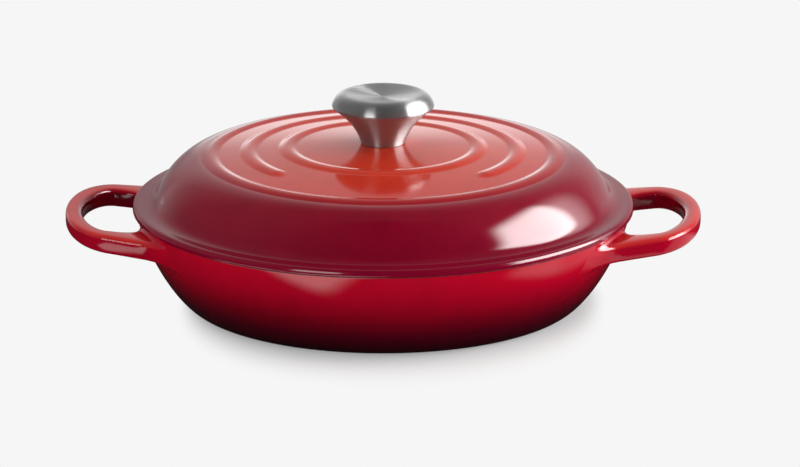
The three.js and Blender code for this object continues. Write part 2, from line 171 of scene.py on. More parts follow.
# Fineness of the meshes
CASTING_TURNS = 192
KNOB_TURNS = 128
SCREW_TURNS = 48
WALL_STEPS = 56
BEND_STEPS = 8
ROUND_STEPS = 6
FLANGE_STEPS = 5
WASHER_STEPS = 4
SMALL_STEPS = 3
HANDLE_END_STEPS = 28
ROOT_SHARES = [0, 0.02, 0.04, 0.07, 0.1, 0.14, 0.19, 0.25, 0.32, 0.4, 0.5, 0.62, 0.75, 0.88, 1]
DOME_STEPS = 40
CROWN_STEPS = 130
CAP_STEPS = 24
DISH_STEPS = 28
STEM_STEPS = 40
HEAD_STEPS = 20
SETTLE_ROUNDS = 3  # rounds that bring a point of a root onto the curved wall
MERGE = 1e-7
MIRROR_MERGE = 0.01 * MM
SHARP_ANGLE = math.radians(40)

# Camera, fitted to the photograph: 800 by 467 pixels
CAMERA_DISTANCE = 3.769
CAMERA_ELEVATION = math.radians(16.7)
CAMERA_YAW = math.radians(1.1)
CAMERA_LENS = 311  # millimetres, on a sensor of the width below
SENSOR_WIDTH = 36
CLIP_END = 50
AIM_RIGHT = 9.2 * MM
AIM_UP = 34.8 * MM


# Outlines

def curve(*pulls, steps):
    """Points of a Bezier curve through the first and the last pull."""
    made = []
    for i in range(steps + 1):
        row = [Vector(p) for p in pulls]
        while len(row) > 1:
            row = [a.lerp(b, i / steps) for a, b in zip(row, row[1:])]
        made.append(row[0])
    return made


def corner(before, at, after, rounding, steps=ROUND_STEPS, end_rounding=None):
    """A corner of an outline, rounded off by a bend of that length on both sides, or of two lengths."""
    at = Vector(at)
    start = at + (Vector(before) - at).normalized() * rounding
    end = at + (Vector(after) - at).normalized() * (end_rounding or rounding)
    return curve(start, at, end, steps=steps)


def moved_in(outline, distance):
    """An outline moved to its left side, as the inside of a wall follows its outside."""
    made = []
    for i, p in enumerate(outline):
        along = (outline[min(i + 1, len(outline) - 1)] - outline[max(i - 1, 0)]).normalized()
        made.append(Vector((p.x - along.y * distance, p.y + along.x * distance)))
    return made


def radius_at(outline, height):
    """The radius of a rising outline at a height."""
    for low, high in zip(outline, outline[1:]):
        if low.y <= height <= high.y:
            return low.lerp(high, (height - low.y) / (high.y - low.y)).x
    return outline[0].x if height < outline[0].y else outline[-1].x


# Modelling

def new_piece(name):
    """The object that was just added, under its name."""
    made = bpy.context.object
    made.name = name
    made.data.name = name
    return made


def clear_selection():
    bpy.ops.object.select_all(action="DESELECT")


def finish_mesh(piece):
    """Close seams and poles, turn the faces outwards and shade them smooth."""
    bpy.ops.object.mode_set(mode="EDIT")
    bpy.ops.mesh.select_all(action="SELECT")
    bpy.ops.mesh.remove_doubles(threshold=MERGE)
    bpy.ops.mesh.normals_make_consistent(inside=False)
    bpy.ops.object.mode_set(mode="OBJECT")
    bpy.ops.object.shade_smooth_by_angle(angle=SHARP_ANGLE)
    return piece


def lathe(name, outline, turns):
    """An outline of (radius, height) points, drawn out point by point and spun round Z."""
    clear_selection()
    bpy.ops.mesh.primitive_plane_add(size=MM)
    piece = new_piece(name)
    bpy.ops.object.mode_set(mode="EDIT")
    bpy.ops.mesh.merge(type="CENTER")
    at = Vector((0, 0))
    for i, p in enumerate(outline):
        step = (p.x - at.x, 0, p.y - at.y)
        if i == 0:
            bpy.ops.transform.translate(value=step)
        else:
            bpy.ops.mesh.extrude_vertices_move(TRANSFORM_OT_translate={"value": step})
        at = p
    bpy.ops.mesh.select_all(action="SELECT")
    bpy.ops.mesh.spin(steps=turns, angle=2 * math.pi, center=(0, 0, 0), axis=(0, 0, 1))
    bpy.ops.object.mode_set(mode="OBJECT")
    return finish_mesh(piece)


def sweep(name, rings):
    """A closed section carried through its rings: the first is filled, and the rest are extruded."""
    clear_selection()
    bpy.ops.mesh.primitive_circle_add(vertices=len(rings[0]), fill_type="NGON")
    piece = new_piece(name)
    bpy.ops.object.mode_set(mode="EDIT")
    mesh = bmesh.from_edit_mesh(piece.data)
    place = mesh.verts.layers.int.new("place")
    for i, v in enumerate(mesh.verts):
        v[place] = i
        v.co = rings[0][i]
    bmesh.update_edit_mesh(piece.data)
    for ring in rings[1:]:
        bpy.ops.mesh.extrude_region_move()
        mesh = bmesh.from_edit_mesh(piece.data)
        place = mesh.verts.layers.int["place"]
        for v in mesh.verts:
            if v.select:
                v.co = ring[v[place]]
        bmesh.update_edit_mesh(piece.data)
    bpy.ops.mesh.delete(type="ONLY_FACE")
    bpy.ops.object.mode_set(mode="OBJECT")
    piece.data.attributes.remove(piece.data.attributes["place"])
    return piece


def apply_modifier(piece, kind, **settings):
    bpy.context.view_layer.objects.active = piece
    modifier = piece.modifiers.new(kind.title(), kind)
    for name, value in settings.items():
        setattr(modifier, name, value)
    bpy.ops.object.modifier_apply(modifier=modifier.name)


def join(piece, *others):
    """Others become part of the piece."""
    clear_selection()
    for o in (piece, *others):
        o.select_set(True)
    bpy.context.view_layer.objects.active = piece
    bpy.ops.object.join()


# Pot

outer_wall = curve(
    (BASE_RADIUS, 0),
    (BASE_RADIUS + TOE_RUN, TOE_RISE),
    (RIM_RADIUS - RIM_LEAN, POT_HEIGHT - RIM_PULL),
    (RIM_RADIUS, POT_HEIGHT),
    steps=WALL_STEPS,
)
inner_wall = moved_in(outer_wall, WALL)


def pot_outline():
    """Half section of the pot, from the middle of its base over the rim to the middle of its floor."""
    foot = BASE_RADIUS - FOOT_RING
    outside = [p for p in outer_wall if p.y < POT_HEIGHT - RIM_ROUND]
    inside = [p for p in inner_wall if FLOOR + FLOOR_BEND < p.y < POT_HEIGHT - RIM_ROUND]
    rim_inner = Vector((radius_at(inner_wall, POT_HEIGHT - RIM_ROUND), POT_HEIGHT))
    rim_outer = Vector((RIM_RADIUS, POT_HEIGHT))
    low = inside[0]
    slope = (inside[1] - low).normalized()
    bend = low - slope * (low.y - FLOOR) / slope.y
    floor_end = Vector((bend.x - (low - bend).length, FLOOR))
    recess = (foot - 2 * FOOT_RECESS, FOOT_RECESS)
    return [
        Vector((0, FOOT_RECESS)),
        *corner((0, FOOT_RECESS), recess, (foot, 0), FOOT_RECESS),
        *corner(recess, (foot, 0), (BASE_RADIUS, 0), FOOT_RECESS / 2),
        *outside,
        *corner(outside[-1], rim_outer, rim_inner, RIM_ROUND),
        *corner(rim_outer, rim_inner, inside[-1], RIM_ROUND),
        *reversed(inside[1:]),
        *curve(low, bend, floor_end, steps=BEND_STEPS),
        Vector((0, FLOOR)),
    ]


def bar_section(width, rounding):
    """Rounded section of the handle's bar: (place across it from the inner edge, height)."""
    low, high = -HANDLE_THICKNESS / 2, HANDLE_THICKNESS / 2
    corners = [(width, low), (width, high), (0, high), (0, low)]
    roundings = [min(CROWNED_SHARE * width, HANDLE_CROWN), rounding]
    made = []
    for i, at in enumerate(corners):
        first, second = roundings[i % 2], roundings[1 - i % 2]
        made += corner(corners[i - 1], at, corners[(i + 1) % 4], first, end_rounding=second)
    return made


def root_fillet(distance, reach):
    """Growth of a fillet, from 1 on the wall to 0 where it has run out."""
    share = min(max(distance / reach, 0), 1)
    return 1 - math.sqrt(1 - (1 - share) ** 2)


def bar_height(x, up):
    """Height of a place on the bar, up from its middle. The bar rises and thins towards its tip."""
    out = x - RIM_RADIUS
    swell = 1 + HANDLE_SWELL / HANDLE_THICKNESS * (1 - out / (HANDLE_TIP - RIM_RADIUS))
    return HANDLE_HEIGHT + HANDLE_RISE * out + up * swell


def root_ring(share, section):
    """Section of the bar at a share of the way from the wall to the shoulder, with its fillets."""
    inner = Vector((HANDLE_SHOULDER, HANDLE_HALF_WIDTH - SIDE_BAR))
    outer = Vector((HANDLE_SHOULDER, HANDLE_HALF_WIDTH))
    side_inner = Vector((1, 0))
    side_outer = Vector((1, -HANDLE_SPREAD))
    ring = []
    for p in section:
        height = bar_height(RIM_RADIUS, p.y)
        full = inner.lerp(outer, p.x / SIDE_BAR).length - radius_at(outer_wall, height)
        distance = share * full - (1 - share) * ROOT_SINK
        in_loop = p.x < SIDE_BAR / 2
        spread, run_out = (LOOP_SPREAD, LOOP_REACH) if in_loop else (ROOT_SPREAD, ROOT_REACH)
        wider = 1 + 2 * spread / SIDE_BAR * root_fillet(distance, run_out)
        taller = 1 + 2 * ROOT_WEB / HANDLE_THICKNESS * root_fillet(distance, ROOT_WEB_REACH)
        across = 0.5 + (p.x / SIDE_BAR - 0.5) * wider
        start = inner + (outer - inner) * across
        side = (side_inner + (side_outer - side_inner) * across).normalized()
        x = HANDLE_SHOULDER
        for _ in range(SETTLE_ROUNDS):
            height = bar_height(x, p.y * taller)
            reach = radius_at(outer_wall, height) + distance
            along = start.dot(side)
            run = along - math.sqrt(reach ** 2 - start.length_squared + along ** 2)
            spot = start - side * run
            x = spot.x
        ring.append(Vector((spot.x, spot.y, height)))
    return ring


def end_rings():
    """Sections of the bar from the shoulder round to the tip."""
    side = Vector((1, -HANDLE_SPREAD)).normalized()
    tip_inner = HANDLE_TIP - TIP_BAR
    inner_width = HANDLE_HALF_WIDTH - SIDE_BAR
    shoulder = Vector((HANDLE_SHOULDER, HANDLE_HALF_WIDTH))
    outer = curve(
        shoulder,
        shoulder + side * HANDLE_SIDE_PULL,
        (HANDLE_TIP, HANDLE_TIP_PULL),
        (HANDLE_TIP, 0),
        steps=HANDLE_END_STEPS,
    )
    inner = curve(
        (HANDLE_SHOULDER, inner_width),
        (HANDLE_SHOULDER + HOLE_SIDE_PULL, inner_width),
        (tip_inner, HOLE_TIP_PULL),
        (tip_inner, 0),
        steps=HANDLE_END_STEPS,
    )
    rings = []
    for i in range(1, HANDLE_END_STEPS + 1):
        a, b = inner[i], outer[i]
        width = (b - a).length
        rounding = SIDE_ROUND + (TIP_ROUND - SIDE_ROUND) * i / HANDLE_END_STEPS
        section = bar_section(width, rounding)
        spots = [(a.lerp(b, p.x / width), p.y) for p in section]
        rings.append([Vector((s.x, s.y, bar_height(s.x, up))) for s, up in spots])
    return rings


def handles():
    """Both loop handles: a quarter is drawn out from the wall to the tip and mirrored twice."""
    section = bar_section(SIDE_BAR, SIDE_ROUND)
    rings = [root_ring(share, section) for share in ROOT_SHARES]
    pair = sweep("handles", rings + end_rings())
    apply_modifier(
        pair, "MIRROR", use_axis=(True, True, False), use_mirror_merge=True, merge_threshold=MIRROR_MERGE
    )
    return finish_mesh(pair)


def pot_casting():
    """The pot and its handles, cast in one."""
    pot = lathe("pot_casting", pot_outline(), CASTING_TURNS)
    join(pot, handles())
    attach(pot, "pot")
    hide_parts("pot_body")
    return pot


# Lid

dome_foot = Vector((LID_RADIUS - LIP_WIDTH, LIP_TOP + DOME_FOOT_RISE))
lid_shoulder = Vector((SHOULDER_RADIUS, SEAT_HEIGHT - CROWN_RISE))
lid_skin = [
    *curve(
        dome_foot,
        (dome_foot.x - DOME_FOOT_LEAN, dome_foot.y + DOME_FOOT_PULL),
        (lid_shoulder.x + SHOULDER_PULL, lid_shoulder.y - SHOULDER_PULL * SHOULDER_SLOPE),
        lid_shoulder,
        steps=DOME_STEPS,
    )[:-1],
    *curve(
        lid_shoulder,
        (lid_shoulder.x - CROWN_START_PULL, lid_shoulder.y + CROWN_START_PULL * SHOULDER_SLOPE),
        (SEAT_RADIUS + CROWN_END_PULL, SEAT_HEIGHT - CROWN_END_PULL * CROWN_SLOPE),
        (SEAT_RADIUS, SEAT_HEIGHT),
        steps=CROWN_STEPS,
    ),
]


def lid_outline():
    """Closed half section of the lid: lip, dome, crown, hole for the screw, underside and flange."""
    lip_edge = (LID_RADIUS, LIP_TOP)
    under_edge = (LID_RADIUS, POT_HEIGHT)
    flange_top = (radius_at(inner_wall, POT_HEIGHT) - LID_PLAY, POT_HEIGHT)
    flange_foot = radius_at(inner_wall, LID_LOW.z) - LID_PLAY
    flange_outer = (flange_foot, LID_LOW.z)
    flange_inner = (flange_foot - FLANGE_WIDTH, LID_LOW.z)
    fillet_start = (dome_foot.x + LIP_FILLET, LIP_TOP)
    fillet_corner = (dome_foot.x + DOME_FOOT_RISE * DOME_FOOT_LEAN / DOME_FOOT_PULL, LIP_TOP)
    underside = moved_in(lid_skin, LID_WALL)[::-1]
    hole_top = (HOLE_RADIUS, SEAT_HEIGHT)
    hole_foot = (HOLE_RADIUS, PAD_HEIGHT)
    pad = (PAD_RADIUS, PAD_HEIGHT)
    made = [
        *corner(flange_top, under_edge, lip_edge, LIP_UNDER_ROUND),
        *corner(under_edge, lip_edge, fillet_start, LIP_ROUND, steps=BEND_STEPS),
        *curve(fillet_start, fillet_corner, dome_foot, steps=BEND_STEPS),
        *lid_skin[1:],
        *corner(lid_skin[-1], hole_top, hole_foot, SMALL_ROUND, steps=SMALL_STEPS),
        *corner(hole_top, hole_foot, pad, SMALL_ROUND, steps=SMALL_STEPS),
        Vector(pad),
        *[p for p in underside if p.x > PAD_RADIUS + LID_WALL],
        *corner(underside[-1], flange_inner, flange_outer, FLANGE_ROUND, steps=FLANGE_STEPS),
        *corner(flange_inner, flange_outer, flange_top, FLANGE_ROUND, steps=FLANGE_STEPS),
        Vector(flange_top),
    ]
    return made + made[:1]


def ring_height(x, y):
    """Height of the raised rings over the crown at a place: an arch across each ring."""
    place = Vector((x, y))
    turn = abs(math.atan2(x, -y))
    height = 0
    for radius in RING_RADII:
        away = abs(place.length - radius)
        if radius == BROKEN_RING and turn < RING_GAP:
            end = Vector((math.copysign(math.sin(RING_GAP), x), -math.cos(RING_GAP))) * radius
            away = (place - end).length
        if away < RING_HALF:
            height += RING_HEIGHT * (1 - (away / RING_HALF) ** 2) ** RING_FULLNESS
    return height


def lid_casting():
    """The lid, with rings raised on its crown."""
    lid = lathe("lid_casting", lid_outline(), CASTING_TURNS)
    crown = [v for v in lid.data.vertices if v.normal.z > 0]
    for v in crown:
        v.co.z += ring_height(v.co.x, v.co.y)
    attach(lid, "lid")
    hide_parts("lid")
    return lid


# Knob

def knob_cap():
    """Upper shell of the knob, with a dished top."""
    rim = Vector((KNOB_RADIUS, SEAM_HEIGHT))
    crest = Vector((CAP_CREST, CREST_HEIGHT))
    dish = CREST_HEIGHT - DISH_DEPTH
    skin = [
        *curve(rim, (CAP_CREST + CAP_SHOULDER_PULL, CREST_HEIGHT), crest, steps=CAP_STEPS),
        *curve(
            crest,
            (CAP_CREST - DISH_EDGE_PULL, CREST_HEIGHT),
            (DISH_CENTRE_PULL, dish),
            (0, dish),
            steps=DISH_STEPS,
        )[1:],
    ]
    seam = Vector((KNOB_RADIUS - SEAM_WIDTH, SEAM_HEIGHT))
    inside = [p for p in moved_in(skin, SHEET) if INSERT_RADIUS < p.x < seam.x and p.y > SEAM_HEIGHT]
    roof = dish - SHEET
    outline = [
        Vector((0, roof)),
        Vector((INSERT_RADIUS, roof)),
        *reversed(inside),
        seam,
        *corner(seam, rim, skin[3], SEAM_ROUND),
        *[p for p in skin if p.y > SEAM_HEIGHT + SEAM_ROUND],
    ]
    cap = lathe("knob_cap_shell", outline, KNOB_TURNS)
    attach(cap, "lid")
    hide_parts("knob_cap")
    return cap


def knob_stem():
    """Lower shell of the knob, flared from its foot to the seam, with a bore for the insert."""
    rim = Vector((KNOB_RADIUS, SEAM_HEIGHT))
    skin = curve(
        (STEM_FOOT, SEAT_HEIGHT),
        (STEM_FOOT + STEM_FOOT_LEAN, SEAT_HEIGHT + STEM_FOOT_PULL),
        (KNOB_RADIUS - STEM_TOP_RUN, SEAM_HEIGHT - STEM_TOP_DROP),
        rim,
        steps=STEM_STEPS,
    )
    seam = Vector((KNOB_RADIUS - SEAM_WIDTH, SEAM_HEIGHT))
    floor = SEAT_HEIGHT + FOOT_PLATE
    inner = moved_in(skin, SHEET)
    inside = [p for p in inner if p.y > floor and p.x < seam.x]
    bore = INSERT_RADIUS + INSERT_CLEARANCE
    foot = Vector((STEM_FOOT, SEAT_HEIGHT))
    bore_foot = Vector((bore, SEAT_HEIGHT))
    outline = [
        *corner(bore_foot, foot, skin[4], FOOT_ROUND),
        *[p for p in skin if SEAT_HEIGHT + FOOT_ROUND < p.y < SEAM_HEIGHT - SEAM_ROUND],
        *corner(skin[-3], rim, seam, SEAM_ROUND),
        seam,
        *reversed(inside),
        Vector((radius_at(inner, floor), floor)),
        Vector((bore, floor)),
        bore_foot,
    ]
    stem = lathe("knob_stem_shell", outline + outline[:1], KNOB_TURNS)
    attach(stem, "lid")
    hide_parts("knob_stem")
    return stem


# Screw and washer

def thread(start, length):
    """A triangular rib wound up the screw's core."""
    core = SCREW_RADIUS - THREAD_DEPTH
    root = core - THREAD_DEPTH / 2
    clear_selection()
    bpy.ops.mesh.primitive_circle_add(vertices=4, fill_type="NOTHING")
    rib = new_piece("thread")
    half, crest = THREAD_FOOT_HALF, THREAD_CREST_HALF
    section = [(root, -half), (SCREW_RADIUS, -crest), (SCREW_RADIUS, crest), (root, half)]
    for v, (x, z) in zip(rib.data.vertices, section):
        v.co = (x, 0, start + z)
    turns = int(length / THREAD_PITCH)
    apply_modifier(
        rib, "SCREW", angle=2 * math.pi, screw_offset=THREAD_PITCH, iterations=turns,
        steps=SCREW_TURNS // 2, render_steps=SCREW_TURNS // 2, use_normal_calculate=True,
    )
    bpy.ops.object.mode_set(mode="EDIT")
    bpy.ops.mesh.select_mode(type="EDGE")
    bpy.ops.mesh.select_all(action="DESELECT")
    bpy.ops.mesh.select_non_manifold()
    bpy.ops.mesh.fill_holes(sides=4)
    bpy.ops.mesh.select_mode(type="VERT")
    bpy.ops.object.mode_set(mode="OBJECT")
    return finish_mesh(rib)


def drive_cutter():
    """A cross that tapers towards its point, for the head's recess."""
    clear_selection()
    arms = []
    for turn in (DRIVE_TURN, DRIVE_TURN + math.pi / 2):
        bpy.ops.mesh.primitive_cube_add(size=1)
        arm = new_piece("drive_arm")
        for v in arm.data.vertices:
            tip = DRIVE_TAPER if v.co.z > 0 else 1
            x = v.co.x * DRIVE_LENGTH * tip
            y = v.co.y * DRIVE_WIDTH * tip
            z = SCREW_LOW.z + v.co.z * 2 * DRIVE_DEPTH
            v.co = (x * math.cos(turn) - y * math.sin(turn), x * math.sin(turn) + y * math.cos(turn), z)
        arms.append(arm)
    apply_modifier(arms[0], "BOOLEAN", operation="UNION", object=arms[1], solver="EXACT")
    bpy.data.objects.remove(arms[1])
    return arms[0]


def knob_screw():
    """Screw with a rounded head, a cross recess and a thread."""
    head = SCREW_HIGH.y
    core = SCREW_RADIUS - THREAD_DEPTH
    tip = SCREW_HIGH.z
    edge = (head, HEAD_TOP - HEAD_EDGE)
    outline = [
        *curve((0, SCREW_LOW.z), (head * HEAD_FULLNESS, SCREW_LOW.z), edge, steps=HEAD_STEPS),
        *corner(edge, (head, HEAD_TOP), (SCREW_RADIUS, HEAD_TOP), SMALL_ROUND, steps=SMALL_STEPS),
        Vector((SCREW_RADIUS, HEAD_TOP)),
        Vector((SCREW_RADIUS, HEAD_TOP + THREAD_PITCH)),
        Vector((core, HEAD_TOP + THREAD_PITCH + THREAD_DEPTH)),
        Vector((core, tip - THREAD_DEPTH)),
        Vector((core - THREAD_DEPTH, tip)),
        Vector((0, tip)),
    ]
    screw = lathe("screw_threaded", outline, SCREW_TURNS)
    cutter = drive_cutter()
    apply_modifier(screw, "BOOLEAN", operation="DIFFERENCE", object=cutter, solver="EXACT")
    bpy.data.objects.remove(cutter)
    start = HEAD_TOP + THREAD_START
    join(screw, thread(start, tip - start - THREAD_PITCH))
    bpy.ops.object.shade_smooth_by_angle(angle=SHARP_ANGLE)
    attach(screw, "screw")
    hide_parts("knob_screw")
    return screw


def screw_washer():
    """Flat ring with softened edges."""
    low, high = WASHER_LOW.z, WASHER_HIGH.z
    inner, outer = HOLE_RADIUS, WASHER_HIGH.y
    corners = [(outer, low), (outer, high), (inner, high), (inner, low)]
    outline = []
    for i, at in enumerate(corners):
        outline += corner(corners[i - 1], at, corners[(i + 1) % 4], SMALL_ROUND, steps=WASHER_STEPS)
    washer = lathe("washer_ring", outline + outline[:1], SCREW_TURNS)
    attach(washer, "washer")
    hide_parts("screw_washer")
    return washer


# Shading

def tone(red, green, blue):
    """A colour given as it shows, from 0 to 255, turned into linear light."""
    parts = [c / 255 for c in (red, green, blue)]
    return (*[c / 12.92 if c <= 0.04045 else ((c + 0.055) / 1.055) ** 2.4 for c in parts], 1)


class Shade:
    """A socket of a node tree. Arithmetic on shades and numbers adds Math nodes."""

    def __init__(self, tree, socket=None):
        self.tree = tree
        self.socket = socket

    def node(self, kind, settings=None, inputs=None, output=0):
        made = self.tree.nodes.new(kind)
        for name, value in (settings or {}).items():
            if name == "stops":
                for _ in value[2:]:
                    made.color_ramp.elements.new(0.5)
                for stop, (place, colour) in zip(made.color_ramp.elements, value):
                    stop.position = place
                    stop.color = colour
            else:
                setattr(made, name, value)
        for name, value in (inputs or {}).items():
            if isinstance(value, Shade):
                self.tree.links.new(value.socket, made.inputs[name])
            else:
                made.inputs[name].default_value = value
        return Shade(self.tree, made.outputs[output] if len(made.outputs) else None)

    def math(self, operation, first, second):
        return self.node("ShaderNodeMath", {"operation": operation}, {0: first, 1: second})

    def __add__(self, other):
        return self.math("ADD", self, other)

    def __sub__(self, other):
        return self.math("SUBTRACT", self, other)

    def __rsub__(self, other):
        return self.math("SUBTRACT", other, self)

    def __mul__(self, other):
        return self.math("MULTIPLY", self, other)

    def __truediv__(self, other):
        return self.math("DIVIDE", self, other)

    __radd__ = __add__
    __rmul__ = __mul__

    def vector(self, operation, other=(0, 0, 0), output=0):
        return self.node("ShaderNodeVectorMath", {"operation": operation}, {0: self, 1: other}, output)

    def along(self, axis):
        """How far a vector reaches along an axis."""
        return self.vector("DOT_PRODUCT", axis, output="Value")


def noise(place, scale, detail=3.0, roughness=0.55):
    return place.node(
        "ShaderNodeTexNoise", None,
        {"Vector": place, "Scale": scale, "Detail": detail, "Roughness": roughness},
    )


def between(value, low, high):
    """0 below low, 1 above high, and smooth between them."""
    return value.node(
        "ShaderNodeMapRange", {"interpolation_type": "SMOOTHSTEP"},
        {"Value": value, "From Min": low, "From Max": high},
    )


def blend(factor, first, second):
    """A colour that goes from first to second."""
    return factor.node(
        "ShaderNodeMix", {"data_type": "RGBA"}, {"Factor": factor, 6: first, 7: second}, output=2
    )


def ramp(value, stops):
    return value.node("ShaderNodeValToRGB", {"stops": stops}, {"Fac": value})


def bump(height, strength, distance):
    return height.node(
        "ShaderNodeBump", None, {"Height": height, "Strength": strength, "Distance": distance}
    )


def object_place(tree):
    return tree.node("ShaderNodeTexCoord", output="Object")


def height_of(place):
    return place.node("ShaderNodeSeparateXYZ", None, {"Vector": place}, output="Z")


def radius_of(place):
    return place.vector("MULTIPLY", (1, 1, 0)).vector("LENGTH", output="Value")


def new_finish(name):
    finish = bpy.data.materials.new(name)
    finish.use_nodes = True
    finish.node_tree.nodes.clear()
    return finish, Shade(finish.node_tree)


def show(tree, shader):
    tree.node("ShaderNodeOutputMaterial", None, {"Surface": shader})


def surface(tree, **sockets):
    """The shader of a finish. Socket names are written with underscores."""
    inputs = {name.replace("_", " "): value for name, value in sockets.items()}
    show(tree, tree.node("ShaderNodeBsdfPrincipled", None, inputs))


# Finishes

# Noise scales, in features per metre
DRIFT_SCALE = 14
CLOUD_SCALE = 60
SMEAR_SCALE = 120
WAVE_SCALE = 190
SAND_WAVE_SCALE = 220
WEAR_SCALE = 420
FLAKE_SCALE = 800
SPECK_SCALE = 900
SAND_SCALE = 1500
RIM_SCALE = 2200
SPIN_SCALE = 9000

# Enamel outside: colours by the share of the pot's height and of the lid's radius
WALL_REDS = [
    (0.02, tone(40, 5, 14)),
    (0.11, tone(52, 1, 15)),
    (0.27, tone(76, 0, 18)),
    (0.43, tone(112, 0, 22)),
    (0.6, tone(148, 0, 28)),
    (0.78, tone(174, 0, 33)),
    (1.0, tone(190, 2, 37)),
]
CROWN_REDS = [
    (0.45, tone(202, 54, 32)),
    (0.66, tone(196, 44, 33)),
    (0.76, tone(136, 6, 34)),
    (1.0, tone(124, 1, 36)),
]
BAR_SIDE_RED = tone(164, 0, 33)
BAR_TOP_RED = tone(202, 44, 42)
# Painted shade: darker reds for the bar's faces that look into the loop
LOOP_SHADED_SIDE_RED = tone(96, 0, 19)
LOOP_SHADED_TOP_RED = tone(158, 2, 30)
BAR_TOP_START = 2.2 * MM  # heights over the bar's middle between which the top's red sets in
BAR_TOP_END = 5 * MM
BAR_START = RIM_RADIUS - 1 * MM  # radii between which the wall's red turns into the bar's
BAR_END = RIM_RADIUS + 6 * MM
CLOUD_RED = (0.02, 0, 0.002, 1)
CLOUD_SHARE = 0.1
WALL_DRIFT = 2 * MM  # how far the bands of colour wander
CROWN_DRIFT = 4 * MM
ENAMEL_ROUGHNESS = 0.08
ENAMEL_IOR = 1.5

# Other finishes
SAND_PALE, SAND_DARK = tone(226, 208, 172), tone(176, 150, 112)
RIM_DARK, RIM_PALE = tone(30, 24, 25), tone(66, 52, 50)
BASE_DARK, BARE_IRON = tone(42, 8, 16), tone(92, 86, 84)
ZINC_DARK, ZINC_PALE = tone(150, 152, 153), tone(188, 188, 184)
SPIN_DARKER = 14  # how far the spun lines leave the steel's shade
SPIN_PALER = 8
SPIN_STRETCH = 0.94
SPIN_ALONG = 0.25  # a quarter turn lays the stretched gloss along the lines

# How far the finishes of rim, underside and contact face reach
RIM_ZONE = 0.6 * RIM_ROUND
FOOT_ZONE = 1.2 * FOOT_RECESS
CONTACT_ZONE = 0.3 * LIP_UNDER_ROUND
ZONE_MARGIN = 1 * MM


def glaze(tree, place, colour):
    """Fused enamel over iron: glossy, faintly wavy, with slight clouding in its colour."""
    cloud = noise(place, CLOUD_SCALE, detail=4)
    specks = noise(place, SPECK_SCALE, detail=2)
    waves = noise(place, WAVE_SCALE, detail=1)
    surface(
        tree,
        Base_Color=blend(between(cloud, low=0.42, high=0.72) * CLOUD_SHARE, colour, CLOUD_RED),
        Roughness=ENAMEL_ROUGHNESS + 0.05 * specks,
        IOR=ENAMEL_IOR,
        Normal=bump(waves, strength=0.05, distance=0.1 * MM),
    )


def handle_red_and_loop_shade(tree, place):
    """Orange on top of the bar and dark red at its sides. The faces that look into the loop get painted
    shade: darker reds where shade falls inside the loop.
    """
    folded = place.vector("ABSOLUTE")
    over = height_of(place) - HANDLE_HEIGHT - HANDLE_RISE * (folded.along((1, 0, 0)) - RIM_RADIUS)
    facing = tree.node("ShaderNodeTexCoord", output="Normal").vector("MULTIPLY", place.vector("SIGN"))
    from_middle = folded.vector("SUBTRACT", (LOOP_MIDDLE, 0, 0))
    outward = from_middle.vector("MULTIPLY", (1, 1, 0)).vector("NORMALIZE")
    # painted shade: faces that look into the loop take the darker reds
    inward = 0 - facing.along(outward)
    side = blend(between(inward, low=0.3, high=0.8), BAR_SIDE_RED, LOOP_SHADED_SIDE_RED)
    top = blend(between(inward, low=0.1, high=0.55), BAR_TOP_RED, LOOP_SHADED_TOP_RED)
    return blend(between(over, low=BAR_TOP_START, high=BAR_TOP_END), side, top)


def pot_red():
    """Red that darkens towards the base, with the handles' reds beyond the rim and painted shade inside their
    loops.
    """
    finish, tree = new_finish("shaded_red_enamel")
    place = object_place(tree)
    height = height_of(place) + WALL_DRIFT * noise(place, DRIFT_SCALE)
    wall = ramp(height * (1 / POT_HEIGHT), WALL_REDS)
    on_handle = between(radius_of(place), low=BAR_START, high=BAR_END)
    glaze(tree, place, blend(on_handle, wall, handle_red_and_loop_shade(tree, place)))
    return finish


def lid_red():
    """Orange red on the crown, dark red from the shoulder outwards."""
    finish, tree = new_finish("crown_red_enamel")
    place = object_place(tree)
    reach = radius_of(place) + CROWN_DRIFT * noise(place, DRIFT_SCALE)
    glaze(tree, place, ramp(reach * (1 / LID_RADIUS), CROWN_REDS))
    return finish


def sand_enamel():
    finish, tree = new_finish("sand_enamel")
    place = object_place(tree)
    grain = noise(place, SAND_SCALE, detail=2)
    surface(
        tree,
        Base_Color=blend(between(grain, low=0.6, high=0.75) * 0.5, SAND_PALE, SAND_DARK),
        Roughness=0.12 + 0.1 * grain,
        Normal=bump(noise(place, SAND_WAVE_SCALE, detail=1), strength=0.06, distance=0.1 * MM),
    )
    return finish


def dark_rim():
    finish, tree = new_finish("dark_matt_rim")
    grain = noise(object_place(tree), RIM_SCALE, detail=3)
    surface(
        tree,
        Base_Color=blend(grain, RIM_DARK, RIM_PALE),
        Roughness=0.4 + 0.3 * grain,
        Normal=bump(grain, strength=0.25, distance=0.05 * MM),
    )
    return finish


def base_enamel():
    """Underside: dark enamel, worn through to grey iron on the ring that it stands on."""
    finish, tree = new_finish("worn_base_enamel")
    place = object_place(tree)
    grain = noise(place, WEAR_SCALE, detail=5, roughness=0.65)
    ring = 1 - between(height_of(place), low=0.02 * MM, high=0.3 * MM)
    worn = ring * between(grain, low=0.42, high=0.62)
    surface(
        tree,
        Base_Color=blend(worn, BASE_DARK, BARE_IRON),
        Roughness=0.3 + 0.35 * worn,
        Normal=bump(grain, strength=0.15, distance=0.1 * MM),
    )
    return finish


